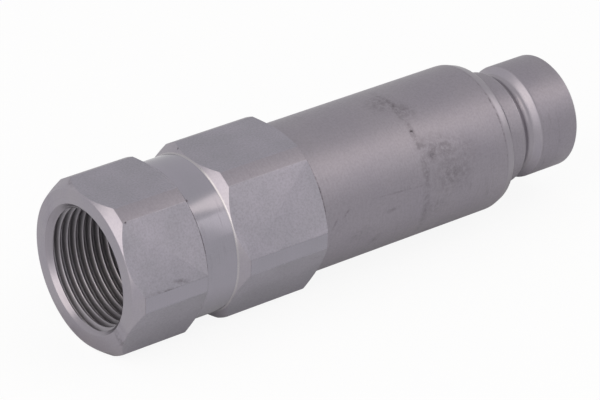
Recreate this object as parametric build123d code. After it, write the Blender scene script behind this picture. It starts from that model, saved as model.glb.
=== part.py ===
from build123d import *
from math import asin, degrees, sqrt
import os

# Hydraulic quick coupler, the flat-face male half, in millimetres.
# Its axis lies on X. x = 0 is the port face, +X points to the nose, and +Z is square
# to one pair of hexagon flats. Pieces are turned about X unless a note says otherwise.

# Clearances
seat_clearance = 0.05      # between a fixed piece and the bore it sits in, on the radius
running_clearance = 0.05   # between a sliding piece and its guide, on the radius
seal_clearance = 0.02      # between a seal and the walls round it
seat_gap = 0.3             # between a valve face and its seat, square to the cone
contact_gap = 0.3          # left between stem and pilot pin when the coupler is fully open
boss_clearance = 0.4       # between a spring and what centres it, on the radius

# Hexagons, neck and barrel
hex_across_flats = 41.0
corner_height = 2.0        # the turned-down corners stand this far out beyond the flats
neck_relief = 0.1          # the neck and the rims of the hexagons lie this far inside the flats
barrel_relief = 1.0        # the barrel lies this far inside the flats
barrel_wall = 3.0
port_end_wall = 2.5        # hexagon left behind the port's thread
port_hex_front_chamfer = 2.4
neck_length = 9.2
seam_chamfer = 0.3         # on the body's rear rim, beside the port hexagon
body_hex_length = 27.0
body_hex_front_chamfer = 2.3
hex_back_chamfer = 1.2
barrel_length = 61.8
barrel_edge_radius = 1.6

# Nose, from the shoulder to the flat face
relief_depth = 1.2
relief_length = 1.3
relief_cone_length = 1.6
land_length = 4.7
ball_groove_depth = 1.6    # its flanks stand at 45 degrees, so each is as long as it is deep
ball_groove_floor = 2.2
nose_length = 11.8
nose_diameter = 30.0
nose_wall = 3.5
nose_edge_chamfer = 0.4

# Female port, with its bore at the major diameter of a G1 pipe thread
port_thread_diameter = 33.25
port_thread_depth = 19.5
port_mouth_chamfer = 0.675
drill_point_length = 2.8

# Spigot that screws the port adapter into the body
spigot_thread_step = 1.5   # from the chamber's wall out to the thread
spigot_thread_length = 11.3
spigot_undercut_length = 2.0
spigot_undercut_depth = 1.5
spigot_wall = 2.05         # between the bottom of the spigot's gland and the oil passage
thread_end_clearance = 0.7
thread_runout = 1.5
thread_mouth_chamfer = 0.6
edge_chamfer = 0.5

# Bore of the front guide
chamber_step = 2.0         # shoulder in front of the chamber, from its wall in to the guide's bore
guide_bore_length = 14.0

# Glands of the two static seals
gland_depth = 2.4
gland_width = 4.8
gland_lead = 2.5           # plain length in front of the spigot's gland
gland_end_land = 2.4       # metal left between a gland and the end of its piece
backup_ring_width = 1.4

# Rear guide, spacer tube and valve seat ring, stacked behind the spigot
rear_guide_thickness = 5.0
rear_guide_rim = 2.85      # metal outside the guide's windows
spacer_length = 32.0
spacer_wall = 2.0
seat_ring_length = 14.0
valve_seat_diameter = 19.0
valve_seat_length = 7.0
boss_length = 2.5          # on both guides, inside the end of the spring

# Front guide and its retaining ring
front_guide_thickness = 6.0
front_guide_rim = 2.25
window_arc = 82.0          # degrees along the middle of each of a guide's three windows
retaining_ring_thickness = 1.4
retaining_ring_width = 2.3
retaining_groove_depth = 1.1
retaining_ring_opening = 44.0
retaining_lug_diameter = 4.4
retaining_lug_hole = 1.8

# Front valve: poppet, seal and stem
front_travel = 9.0
flange_overlap = 1.1       # how far the stem's flange reaches past the bore that it closes
flange_flow_gap = 0.9      # oil passage round the flange
poppet_disc_thickness = 2.8
poppet_edge_chamfer = 0.2
poppet_seal_width = 2.6
poppet_seal_core_diameter = 13.6
poppet_shank_diameter = 6.0
poppet_shank_length = 8.0
stem_lead = 0.5            # full-diameter length between the stem's cone and the seal
stem_diameter = 7.0
stem_tip_chamfer = 0.8
stem_flange_thickness = 1.9
spring_shoulder_length = 2.5

# Rear valve with the pilot valve inside it
rear_travel = 6.75
pilot_travel = 1.35        # of the pilot pin inside the rear valve
pilot_stand_out = 0.4      # how far the pressed pilot pin still stands out of the rear valve
head_length = 5.0
head_flow_gap = 0.8        # oil passage round the head
valve_seal_overlap = 1.7   # how far the head and its seal reach past the seat's edge
valve_seal_rim = 0.9       # straight part of the seal behind its cone
valve_seal_core_diameter = 14.0
retainer_inset = 0.7       # from the seat's edge in to the retainer
retainer_thickness = 1.8
retainer_thread_diameter = 8.0
spanner_hole_diameter = 1.6
shaft_diameter = 11.0
shaft_stop_gap = 0.75      # left between shaft and rear guide when the valve is fully open
tail_diameter = 9.0
tail_length = 11.5
pilot_pin_diameter = 2.6
pilot_pin_gap = 0.3        # oil passage round the pin
pilot_tip_chamfer = 0.4
pilot_seat_inset = 7.9     # from the front of the rear valve to the wide end of the pilot seat
pilot_head_diameter = 5.4
pilot_head_gap = 0.5       # oil passage round the pin's head
pilot_head_length = 4.1
pilot_tail_diameter = 2.4
pilot_tail_length = 2.5
bleed_hole_diameter = 2.4
bleed_hole_setback = 13.0  # from the back of the valve head
plug_length = 7.5
plug_hole_diameter = 1.6
plug_slot_width = 1.0
plug_slot_depth = 1.2

# Springs, by the diameter of their middle line
front_spring_wire = 1.6
front_spring_diameter = 14.8
front_spring_coils = 6
rear_spring_wire = 1.6
rear_spring_diameter = 16.4
rear_spring_coils = 7
pilot_spring_wire = 0.7
pilot_spring_inset = 0.15  # from the edge of the pin's head in to the spring
pilot_spring_coils = 9

# Diameters of the outside and of the bores
hex_across_corners = hex_across_flats + 2 * corner_height
neck_diameter = hex_across_flats - 2 * neck_relief
barrel_diameter = hex_across_flats - 2 * barrel_relief
chamber_diameter = barrel_diameter - 2 * barrel_wall
spigot_thread_diameter = chamber_diameter + 2 * spigot_thread_step
passage_diameter = chamber_diameter - 2 * (seat_clearance + gland_depth + spigot_wall)
guide_bore_diameter = chamber_diameter - 2 * chamber_step
flow_bore_diameter = nose_diameter - 2 * nose_wall
stem_flange_diameter = flow_bore_diameter - 2 * flange_flow_gap
face_bore_diameter = stem_flange_diameter - 2 * flange_overlap
disc_diameter = face_bore_diameter - 2 * running_clearance

# Diameters of the rear valve, its seat and the pilot valve
head_diameter = valve_seat_diameter + 2 * valve_seal_overlap
seat_ring_inlet_diameter = head_diameter + 2 * head_flow_gap
retainer_diameter = valve_seat_diameter - 2 * retainer_inset
spanner_hole_circle = (retainer_diameter + retainer_thread_diameter) / 2
pilot_bore_diameter = pilot_pin_diameter + 2 * pilot_pin_gap
pilot_chamber_diameter = pilot_head_diameter + 2 * pilot_head_gap
pilot_spring_diameter = pilot_head_diameter - pilot_spring_wire - 2 * pilot_spring_inset

# Places of the outside along the axis
hex_end_x = port_thread_depth + port_end_wall
body_hex_x = hex_end_x + neck_length
barrel_x = body_hex_x + body_hex_length
shoulder_x = barrel_x + barrel_length
land_x = shoulder_x + relief_length + relief_cone_length
groove_x = land_x + land_length
nose_x = groove_x + 2 * ball_groove_depth + ball_groove_floor
face_x = nose_x + nose_length

# Places of the fixed pieces inside, from the hexagon's back face forwards
spigot_pilot_x = hex_end_x + spigot_thread_length
body_thread_end_x = spigot_pilot_x + thread_end_clearance
spigot_gland_x = spigot_pilot_x + gland_lead
spigot_end_x = spigot_gland_x + gland_width + gland_end_land
spacer_x = spigot_end_x + rear_guide_thickness
seat_ring_x = spacer_x + spacer_length
chamber_end_x = seat_ring_x + seat_ring_length
seat_gland_x = chamber_end_x - gland_end_land - gland_width
valve_seat_x = chamber_end_x - valve_seat_length
guide_bore_end_x = chamber_end_x + guide_bore_length
front_guide_x = guide_bore_end_x - front_guide_thickness
retaining_ring_x = front_guide_x - retaining_ring_thickness

# A valve cone stands this far behind its 45 degree seat, measured on the axis.
cone_setback = seat_gap * sqrt(2)

# Places of the front valve, from the flat face backwards
disc_x = face_x - poppet_disc_thickness
poppet_seal_x = disc_x - poppet_seal_width
face_bore_x = poppet_seal_x - stem_lead
face_seat_x = face_bore_x - (flow_bore_diameter - face_bore_diameter) / 2
stem_cone_x = face_bore_x - cone_setback + running_clearance
flange_front_x = stem_cone_x - (stem_flange_diameter - disc_diameter) / 2
flange_x = flange_front_x - stem_flange_thickness
spring_shoulder_x = flange_x - spring_shoulder_length

# Places of the rear valve and the pilot valve, from the seat backwards
seal_front_x = valve_seat_x - cone_setback
valve_seal_x = seal_front_x - valve_seal_overlap - valve_seal_rim
valve_front_x = seal_front_x + retainer_thickness
head_x = valve_seal_x - head_length
shaft_x = spacer_x + boss_length + rear_travel + shaft_stop_gap
tail_x = shaft_x - tail_length
plug_front_x = tail_x + plug_length
pilot_seat_x = valve_front_x - pilot_seat_inset
pilot_cone_x = pilot_seat_x - cone_setback + (pilot_chamber_diameter - pilot_head_diameter) / 2
pilot_head_x = pilot_cone_x - pilot_head_length
pilot_tip_x = valve_front_x + pilot_travel + pilot_stand_out

# The stem travels further than the two valves behind it, by its way to the pilot pin.
stem_tip_x = pilot_tip_x + (front_travel - rear_travel - pilot_travel) + contact_gap


def turned(*points):
    """A full turn about X of the closed outline through (x, radius) points."""
    return revolve(make_face(Polyline(*points, close=True)), Axis.X)


def tube(start, end, outer, inner):
    """A plain ring from start to end, with its outer and inner diameters."""
    return turned((start, inner / 2), (end, inner / 2), (end, outer / 2), (start, outer / 2))


def across(x):
    """The plane square to the axis at x, with its own x along +Y and its own y along +Z."""
    return Plane(origin=(x, 0, 0), x_dir=(0, 1, 0), z_dir=(1, 0, 0))


def polar(radius, angle):
    """A point of such a plane, by its angle in degrees from +Y towards +Z."""
    return Vector(radius, 0).rotate(Axis.Z, angle)


def flats(start, end):
    """What the wrench flats take off a turned blank between start and end."""
    prism = across(start) * RegularPolygon(hex_across_flats / 2, 6, major_radius=False)
    return tube(start, end, 2 * hex_across_corners, passage_diameter) - extrude(prism, end - start)


def gland(start):
    """The groove for a static seal and its backup ring, round a piece that fills the chamber."""
    wall = chamber_diameter - 2 * seat_clearance
    return tube(start, start + gland_width, chamber_diameter + 2, wall - 2 * gland_depth)


def o_ring(start):
    """A round cord squeezed between gland floor and chamber wall, so its section is an oblong."""
    floor = chamber_diameter / 2 - seat_clearance - gland_depth + seal_clearance
    height = chamber_diameter / 2 - seal_clearance - floor
    width = gland_width - backup_ring_width - 3 * seal_clearance
    section = Pos(start + width / 2, floor + height / 2) * RectangleRounded(width, height, 0.42 * height)
    return revolve(section, Axis.X)


def backup_ring(start):
    """The flat plastic ring on the side of the seal that the pressure pushes it towards."""
    outer = chamber_diameter - 2 * seal_clearance
    inner = chamber_diameter - 2 * (seat_clearance + gland_depth - seal_clearance)
    return tube(start, start + backup_ring_width, outer, inner)


def windows(start, end, inner, outer):
    """Three milled kidney slots round the axis, between an inner and an outer diameter."""
    slots = Sketch()
    for angle in (90, 210, 330):
        middle = CenterArc((0, 0), (inner + outer) / 4, angle - window_arc / 2, window_arc)
        slots += SlotArc(middle, (outer - inner) / 2)
    return extrude(across(start) * slots, end - start)


def guide(start, thickness, outer, rim, stem, spring_diameter, wire):
    """A guide disc with a bore for its stem, a boss that centres a spring, and windows for the oil
    between the spring's seat and the rim."""
    end = start + thickness
    bore = stem + 2 * running_clearance
    boss = spring_boss(spring_diameter, wire)
    hub = spring_diameter + wire + 2 * boss_clearance
    disc = turned(
        (start, bore / 2),
        (end + boss_length, bore / 2),
        (end + boss_length, boss / 2 - edge_chamfer),
        (end + boss_length - edge_chamfer, boss / 2),
        (end, boss / 2),
        (end, outer / 2),
        (start, outer / 2),
    )
    return disc - windows(start, end, hub, outer - 2 * rim)


def spring_boss(spring_diameter, wire):
    """The diameter of what centres a spring from inside."""
    return spring_diameter - wire - 2 * boss_clearance


def spring(start, end, diameter, wire, coils):
    """A compression spring with its two ends ground flat."""
    lead = wire / 2
    path = Helix(
        pitch=(end - start) / coils,
        height=end - start + 2 * lead,
        radius=diameter / 2,
        center=(start - lead, 0, 0),
        direction=(1, 0, 0),
    )
    section = Plane(origin=path @ 0, z_dir=path % 0) * Circle(wire / 2)
    coil = sweep(section, path=path, is_frenet=True)
    return coil & Pos((start + end) / 2, 0, 0) * Box(end - start, 2 * diameter, 2 * diameter)


def make_port_adapter():
    """Port hexagon with the female port, and the screwed spigot behind it."""
    rim = neck_diameter / 2
    corner = hex_across_corners / 2
    port = port_thread_diameter / 2
    thread = spigot_thread_diameter / 2 - seat_clearance
    undercut = thread - spigot_undercut_depth
    undercut_end_x = hex_end_x + spigot_undercut_length
    pilot = chamber_diameter / 2 - seat_clearance
    blank = turned(
        (0, port + port_mouth_chamfer),
        (0, rim),
        (port_hex_front_chamfer, corner),
        (hex_end_x - hex_back_chamfer, corner),
        (hex_end_x, rim),
        (hex_end_x, undercut),
        (undercut_end_x, undercut),
        (undercut_end_x + spigot_undercut_depth, thread),
        (spigot_pilot_x - (thread - pilot), thread),
        (spigot_pilot_x, pilot),
        (spigot_end_x - edge_chamfer, pilot),
        (spigot_end_x, pilot - edge_chamfer),
        (spigot_end_x, passage_diameter / 2),
        (port_thread_depth + drill_point_length, passage_diameter / 2),
        (port_thread_depth, port),
        (port_mouth_chamfer, port),
    )
    return blank - flats(0, hex_end_x) - gland(spigot_gland_x)


def make_coupling_body():
    """Neck, second hexagon, barrel, shoulder and nose, turned from one bar and bored from behind."""
    neck = neck_diameter / 2
    corner = hex_across_corners / 2
    barrel = barrel_diameter / 2
    nose = nose_diameter / 2
    groove = nose - ball_groove_depth
    relief = nose - relief_depth
    outside = turned(
        (hex_end_x, 0),
        (hex_end_x, neck - seam_chamfer),
        (hex_end_x + seam_chamfer, neck),
        (body_hex_x, neck),
        (body_hex_x + body_hex_front_chamfer, corner),
        (barrel_x - hex_back_chamfer, corner),
        (barrel_x, neck),
        (barrel_x, barrel),
        (shoulder_x, barrel),
        (shoulder_x, relief),
        (shoulder_x + relief_length, relief),
        (land_x, nose),
        (groove_x, nose),
        (groove_x + ball_groove_depth, groove),
        (nose_x - ball_groove_depth, groove),
        (nose_x, nose),
        (face_x - nose_edge_chamfer, nose),
        (face_x, nose - nose_edge_chamfer),
        (face_x, 0),
    )
    rims = outside.edges().filter_by(GeomType.CIRCLE).sort_by(lambda e: abs(e.center().X - shoulder_x))
    outside = fillet(max(rims[:2], key=lambda e: e.radius), barrel_edge_radius)
    thread = spigot_thread_diameter / 2
    chamber = chamber_diameter / 2
    inside = turned(
        (hex_end_x, 0),
        (hex_end_x, thread + thread_mouth_chamfer),
        (hex_end_x + thread_mouth_chamfer, thread),
        (body_thread_end_x, thread),
        (body_thread_end_x + thread_runout, chamber),
        (chamber_end_x, chamber),
        (chamber_end_x, guide_bore_diameter / 2),
        (guide_bore_end_x, guide_bore_diameter / 2),
        (guide_bore_end_x, flow_bore_diameter / 2),
        (face_seat_x, flow_bore_diameter / 2),
        (face_bore_x, face_bore_diameter / 2),
        (face_x, face_bore_diameter / 2),
        (face_x, 0),
    )
    ring_groove = tube(
        retaining_ring_x,
        front_guide_x,
        guide_bore_diameter + 2 * retaining_groove_depth,
        flow_bore_diameter,
    )
    return outside - inside - ring_groove - flats(body_hex_x, barrel_x)


def make_rear_guide():
    """Guide for the tail of the rear valve, clamped between the spigot and the spacer tube."""
    return guide(
        spigot_end_x,
        rear_guide_thickness,
        chamber_diameter - 2 * seat_clearance,
        rear_guide_rim,
        tail_diameter,
        rear_spring_diameter,
        rear_spring_wire,
    )


def make_front_guide():
    """Guide for the stem of the front valve, against the step at the end of its bore."""
    return guide(
        front_guide_x,
        front_guide_thickness,
        guide_bore_diameter - 2 * seat_clearance,
        front_guide_rim,
        stem_diameter,
        front_spring_diameter,
        front_spring_wire,
    )


def make_guide_retaining_ring():
    """Internal snap ring behind the front guide, with two lugs for the pliers beside its opening."""
    outer = guide_bore_diameter / 2 + retaining_groove_depth - seat_clearance
    inner = outer - retaining_ring_width
    lug = retaining_lug_diameter / 2
    half = retaining_ring_opening / 2
    shape = Circle(outer) - Circle(inner)
    corners = [(0, 0), polar(2 * outer, 90 - half), polar(2 * outer, 90 + half)]
    shape -= make_face(Polyline(*corners, close=True))
    for side in (-1, 1):
        place = Pos(polar(inner, 90 + side * (half + degrees(asin(lug / inner)))))
        shape += (place * Circle(lug)) & Circle(outer)
        shape -= place * Circle(retaining_lug_hole / 2)
    return extrude(across(retaining_ring_x) * shape, retaining_ring_thickness)


def make_spacer_tube():
    """Thin tube that holds the seat ring against the end of the chamber."""
    outer = chamber_diameter - 2 * seat_clearance
    return tube(spacer_x, seat_ring_x, outer, outer - 2 * spacer_wall)


def make_valve_seat_ring():
    """Ring with the 45 degree seat of the rear valve and the gland of its own static seal."""
    outer = chamber_diameter / 2 - seat_clearance
    inlet = seat_ring_inlet_diameter / 2
    seat = valve_seat_diameter / 2
    blank = turned(
        (seat_ring_x, inlet),
        (valve_seat_x - (inlet - seat), inlet),
        (valve_seat_x, seat),
        (chamber_end_x - edge_chamfer, seat),
        (chamber_end_x, seat + edge_chamfer),
        (chamber_end_x, outer),
        (seat_ring_x, outer),
    )
    return blank - gland(seat_gland_x)


def make_flat_face_poppet():
    """Disc that closes the nose flush with its face, on a threaded shank."""
    disc = disc_diameter / 2
    shank = poppet_shank_diameter / 2
    return turned(
        (disc_x - poppet_shank_length, 0),
        (disc_x - poppet_shank_length, shank - edge_chamfer),
        (disc_x - poppet_shank_length + edge_chamfer, shank),
        (disc_x, shank),
        (disc_x, disc),
        (face_x - poppet_edge_chamfer, disc),
        (face_x, disc - poppet_edge_chamfer),
        (face_x, 0),
    )


def make_poppet_seal():
    """Rubber ring clamped between the poppet disc and the stem."""
    outer = face_bore_diameter / 2 - seal_clearance
    inner = poppet_seal_core_diameter / 2 + seal_clearance
    return turned(
        (poppet_seal_x, inner),
        (poppet_seal_x, outer - edge_chamfer),
        (poppet_seal_x + edge_chamfer, outer),
        (disc_x - edge_chamfer, outer),
        (disc_x, outer - edge_chamfer),
        (disc_x, inner),
    )


def make_poppet_stem():
    """Stem of the front valve, with the flange that meets the seat in the nose and a socket for the poppet."""
    stem = stem_diameter / 2
    disc = disc_diameter / 2
    socket = poppet_shank_diameter / 2 + seat_clearance
    socket_x = disc_x - poppet_shank_length - edge_chamfer
    shoulder = spring_boss(front_spring_diameter, front_spring_wire) / 2
    return turned(
        (stem_tip_x, 0),
        (stem_tip_x, stem - stem_tip_chamfer),
        (stem_tip_x + stem_tip_chamfer, stem),
        (spring_shoulder_x, stem),
        (spring_shoulder_x, shoulder - edge_chamfer),
        (spring_shoulder_x + edge_chamfer, shoulder),
        (flange_x, shoulder),
        (flange_x, stem_flange_diameter / 2),
        (flange_front_x, stem_flange_diameter / 2),
        (stem_cone_x, disc),
        (poppet_seal_x, disc),
        (poppet_seal_x, poppet_seal_core_diameter / 2),
        (disc_x, poppet_seal_core_diameter / 2),
        (disc_x, socket),
        (socket_x, socket),
        (socket_x, 0),
    )


def make_main_valve():
    """Rear valve: head, shaft and tail, hollow for the pilot valve, with cross holes that feed it."""
    shaft = shaft_diameter / 2
    tail = tail_diameter / 2
    head = head_diameter / 2
    core = valve_seal_core_diameter / 2
    screw = retainer_thread_diameter / 2
    chamber = pilot_chamber_diameter / 2
    bore = pilot_bore_diameter / 2
    valve = turned(
        (tail_x, chamber),
        (tail_x, tail - edge_chamfer),
        (tail_x + edge_chamfer, tail),
        (shaft_x, tail),
        (shaft_x, shaft - edge_chamfer),
        (shaft_x + edge_chamfer, shaft),
        (head_x, shaft),
        (head_x, head - edge_chamfer),
        (head_x + edge_chamfer, head),
        (valve_seal_x, head),
        (valve_seal_x, core),
        (seal_front_x, core),
        (seal_front_x, screw),
        (valve_front_x, screw),
        (valve_front_x, bore),
        (pilot_seat_x + (chamber - bore), bore),
        (pilot_seat_x, chamber),
    )
    hole = Cylinder(bleed_hole_diameter / 2, 2 * shaft_diameter)
    bleed = Pos(head_x - bleed_hole_setback, 0, 0) * (hole + Rot(90, 0, 0) * hole)
    return valve - bleed


def make_main_valve_seal():
    """Seal ring of the rear valve, with the 45 degree face that meets the seat."""
    core = valve_seal_core_diameter / 2 + seal_clearance
    head = head_diameter / 2
    seat = valve_seat_diameter / 2
    return turned(
        (valve_seal_x, core),
        (valve_seal_x, head),
        (seal_front_x - (head - seat), head),
        (seal_front_x, seat),
        (seal_front_x, core),
    )


def make_seal_retainer():
    """Ring nut that holds the seal on the rear valve, with two holes for a pin spanner."""
    inner = retainer_thread_diameter + 2 * seat_clearance
    ring = tube(seal_front_x, valve_front_x, retainer_diameter, inner)
    holes = Sketch()
    for angle in (0, 180):
        holes += Pos(polar(spanner_hole_circle / 2, angle)) * Circle(spanner_hole_diameter / 2)
    return ring - extrude(across(seal_front_x) * holes, retainer_thickness)


def make_pilot_pin():
    """Relief pin inside the rear valve, with its own 45 degree cone."""
    head = pilot_head_diameter / 2
    pin = pilot_pin_diameter / 2
    tail = pilot_tail_diameter / 2
    return turned(
        (pilot_head_x - pilot_tail_length, 0),
        (pilot_head_x - pilot_tail_length, tail),
        (pilot_head_x, tail),
        (pilot_head_x, head),
        (pilot_cone_x, head),
        (pilot_cone_x + (head - pin), pin),
        (pilot_tip_x - pilot_tip_chamfer, pin),
        (pilot_tip_x, pin - pilot_tip_chamfer),
        (pilot_tip_x, 0),
    )


def make_pilot_plug():
    """Slotted and drilled screw in the rear valve's tail, behind the pilot spring."""
    plug = tube(tail_x, plug_front_x, pilot_chamber_diameter - 2 * seat_clearance, plug_hole_diameter)
    slot = Box(2 * plug_slot_depth, pilot_chamber_diameter, plug_slot_width)
    return plug - Pos(tail_x, 0, 0) * slot


def make_front_spring():
    """Spring between the front guide and the stem's flange."""
    return spring(guide_bore_end_x, flange_x, front_spring_diameter, front_spring_wire, front_spring_coils)


def make_rear_spring():
    """Spring between the rear guide and the back of the rear valve's head."""
    return spring(spacer_x, head_x, rear_spring_diameter, rear_spring_wire, rear_spring_coils)


def make_pilot_spring():
    """Spring between the plug and the pilot pin."""
    return spring(
        plug_front_x, pilot_head_x, pilot_spring_diameter, pilot_spring_wire, pilot_spring_coils
    )


# The spigot's seal is pushed back towards the thread, and the seat ring's forwards.
pieces = {
    "port_adapter": make_port_adapter(),
    "adapter_backup_ring": backup_ring(spigot_gland_x + seal_clearance),
    "adapter_o_ring": o_ring(spigot_gland_x + backup_ring_width + 2 * seal_clearance),
    "coupling_body": make_coupling_body(),
    "rear_guide": make_rear_guide(),
    "spacer_tube": make_spacer_tube(),
    "valve_seat_ring": make_valve_seat_ring(),
    "seat_o_ring": o_ring(seat_gland_x + seal_clearance),
    "seat_backup_ring": backup_ring(seat_gland_x + gland_width - backup_ring_width - seal_clearance),
    "front_guide": make_front_guide(),
    "guide_retaining_ring": make_guide_retaining_ring(),
    "flat_face_poppet": make_flat_face_poppet(),
    "poppet_seal": make_poppet_seal(),
    "poppet_stem": make_poppet_stem(),
    "front_spring": make_front_spring(),
    "main_valve": make_main_valve(),
    "main_valve_seal": make_main_valve_seal(),
    "seal_retainer": make_seal_retainer(),
    "rear_spring": make_rear_spring(),
    "pilot_pin": make_pilot_pin(),
    "pilot_spring": make_pilot_spring(),
    "pilot_plug": make_pilot_plug(),
}

os.makedirs("parts", exist_ok=True)
for name, piece in pieces.items():
    export_step(piece, f"parts/{name}.step")
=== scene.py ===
from math import cos, hypot, pi, radians, sin, tau

import bmesh
import bpy
from mathutils import Matrix, Vector


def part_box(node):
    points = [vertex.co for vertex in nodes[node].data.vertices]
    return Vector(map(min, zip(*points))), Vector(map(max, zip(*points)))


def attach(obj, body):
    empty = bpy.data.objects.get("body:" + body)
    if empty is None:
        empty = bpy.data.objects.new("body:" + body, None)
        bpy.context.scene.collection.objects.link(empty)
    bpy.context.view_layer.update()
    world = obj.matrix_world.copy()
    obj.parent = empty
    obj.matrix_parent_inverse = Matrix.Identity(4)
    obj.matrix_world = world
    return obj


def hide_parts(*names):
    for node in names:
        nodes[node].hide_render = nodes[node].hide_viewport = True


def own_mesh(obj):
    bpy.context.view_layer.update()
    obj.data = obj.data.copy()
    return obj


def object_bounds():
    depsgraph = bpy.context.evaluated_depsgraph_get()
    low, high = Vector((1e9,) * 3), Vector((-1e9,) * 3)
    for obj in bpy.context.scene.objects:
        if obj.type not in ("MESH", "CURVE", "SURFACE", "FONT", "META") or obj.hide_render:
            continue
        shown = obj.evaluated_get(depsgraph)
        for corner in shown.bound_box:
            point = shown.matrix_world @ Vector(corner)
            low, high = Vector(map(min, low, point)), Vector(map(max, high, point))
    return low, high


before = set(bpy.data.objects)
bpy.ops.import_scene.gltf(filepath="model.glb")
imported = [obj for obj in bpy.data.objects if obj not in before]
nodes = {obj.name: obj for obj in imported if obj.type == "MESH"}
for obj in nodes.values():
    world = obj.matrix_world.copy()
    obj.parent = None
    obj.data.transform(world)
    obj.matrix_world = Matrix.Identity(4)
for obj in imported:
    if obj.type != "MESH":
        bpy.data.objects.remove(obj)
cadLow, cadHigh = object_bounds()
mm = 0.001
axisX = Vector((1, 0, 0))
print("frame loaded,", len(nodes), "nodes")


# camera, placed round the middle of the port face
view = {
    "azimuth": -37.23,      # degrees, 0 looks along +Y
    "elevation": 27.66,
    "lean": -2.2,           # degrees about the coupler's own axis, it lies turned by this much
    "distance": 875.3,      # mm
    "right": 52.2,          # mm from the port face's middle to the middle of the picture
    "up": 16.9,
    "size": 0.998,          # scales the three distances together
    "lens": 217.8,          # mm
    "sensor": 36,           # mm wide
    "nearest": 0.01,        # m, nothing closer is drawn
}

azimuth = radians(view["azimuth"])
elevation = radians(view["elevation"])
towards = Vector((sin(azimuth) * cos(elevation), -cos(azimuth) * cos(elevation), sin(elevation)))
sideways = (-towards).cross(Vector((0, 0, 1))).normalized()
upwards = sideways.cross(-towards)
eye = sideways * view["right"] + upwards * view["up"] + towards * view["distance"]
turn = Matrix((sideways, upwards, towards)).transposed().to_4x4()
lean = Matrix.Rotation(radians(view["lean"]), 4, "X")
cameraData = bpy.data.cameras.new("camera")
cameraData.lens = view["lens"]
cameraData.sensor_width = view["sensor"]
cameraData.clip_start = view["nearest"]
camera = bpy.data.objects.new("camera", cameraData)
camera.matrix_world = lean @ Matrix.Translation(eye * view["size"] * mm) @ turn
bpy.context.scene.collection.objects.link(camera)
bpy.context.scene.camera = camera
print("camera placed")


# Turns an sRGB hex colour to the linear values that Blender mixes, by the curve that the standard gives.
def srgb(code):
    parts = [int(code[i:i + 2], 16) / 255 for i in (1, 3, 5)]
    return [p / 12.92 if p <= 0.04045 else ((p + 0.055) / 1.055) ** 2.4 for p in parts] + [1]


# Adds a node, sets its properties and sockets by name, and links it to other nodes or their sockets.
def addNode(tree, kind, settings=None, links=None):
    node = tree.nodes.new("ShaderNode" + kind)
    for name, value in (settings or {}).items():
        if isinstance(name, int) or name in node.inputs:
            node.inputs[name].default_value = value
        else:
            setattr(node, name, value)
    for name, source in (links or {}).items():
        tree.links.new(source.outputs[0] if isinstance(source, bpy.types.Node) else source, node.inputs[name])
    return node


def newMaterial(name):
    material = bpy.data.materials.new(name)
    material.use_nodes = True
    material.node_tree.nodes.clear()
    return material, material.node_tree


# What all the steel finishes share. Each noise value between a low and a high fades its pattern in.
steelGrain = {
    "ringsOnFaces": 0.7,        # how far the radius moves the rings on, so that end faces have them too
    "ringDetail": 3.0, "ringLow": 0.3, "ringHigh": 0.7,
    "gritDetail": 3.0, "gritRoughness": 0.6, "speckLow": 0.40, "speckHigh": 0.66,
    "shineLow": 0.3, "shineHigh": 0.7,
    "cloudDetail": 4.0, "cloudRoughness": 0.55, "cloudLow": 0.36, "cloudHigh": 0.64,
    "streakSize": (1.2, 9, 9),  # mm along the axis and across it
    "streakDetail": 3.0, "streakRoughness": 0.7, "streakLow": 0.56, "streakHigh": 0.72,
    "rubbedSize": 20,           # mm, the patches that have such streaks
    "rubbedDetail": 1.0, "rubbedLow": 0.52, "rubbedHigh": 0.66,
    "crumbSize": 1.3,           # mm, the crumbs that break up the listed marks
    "crumbDetail": 4.0, "crumbRoughness": 0.75, "crumbLow": 0.38, "crumbHigh": 0.62,
    "markCore": 0.1,            # share of a mark's size that has its full depth
    "soilAndShadeDulls": 0.12,          # added to the roughness where the surface is soiled or carries a mark of painted shade
    "grooveTurn": 0.25,         # turns the long lights across the rings
}
markRadius = 20.0               # mm, where the widths of the listed marks are measured
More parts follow.
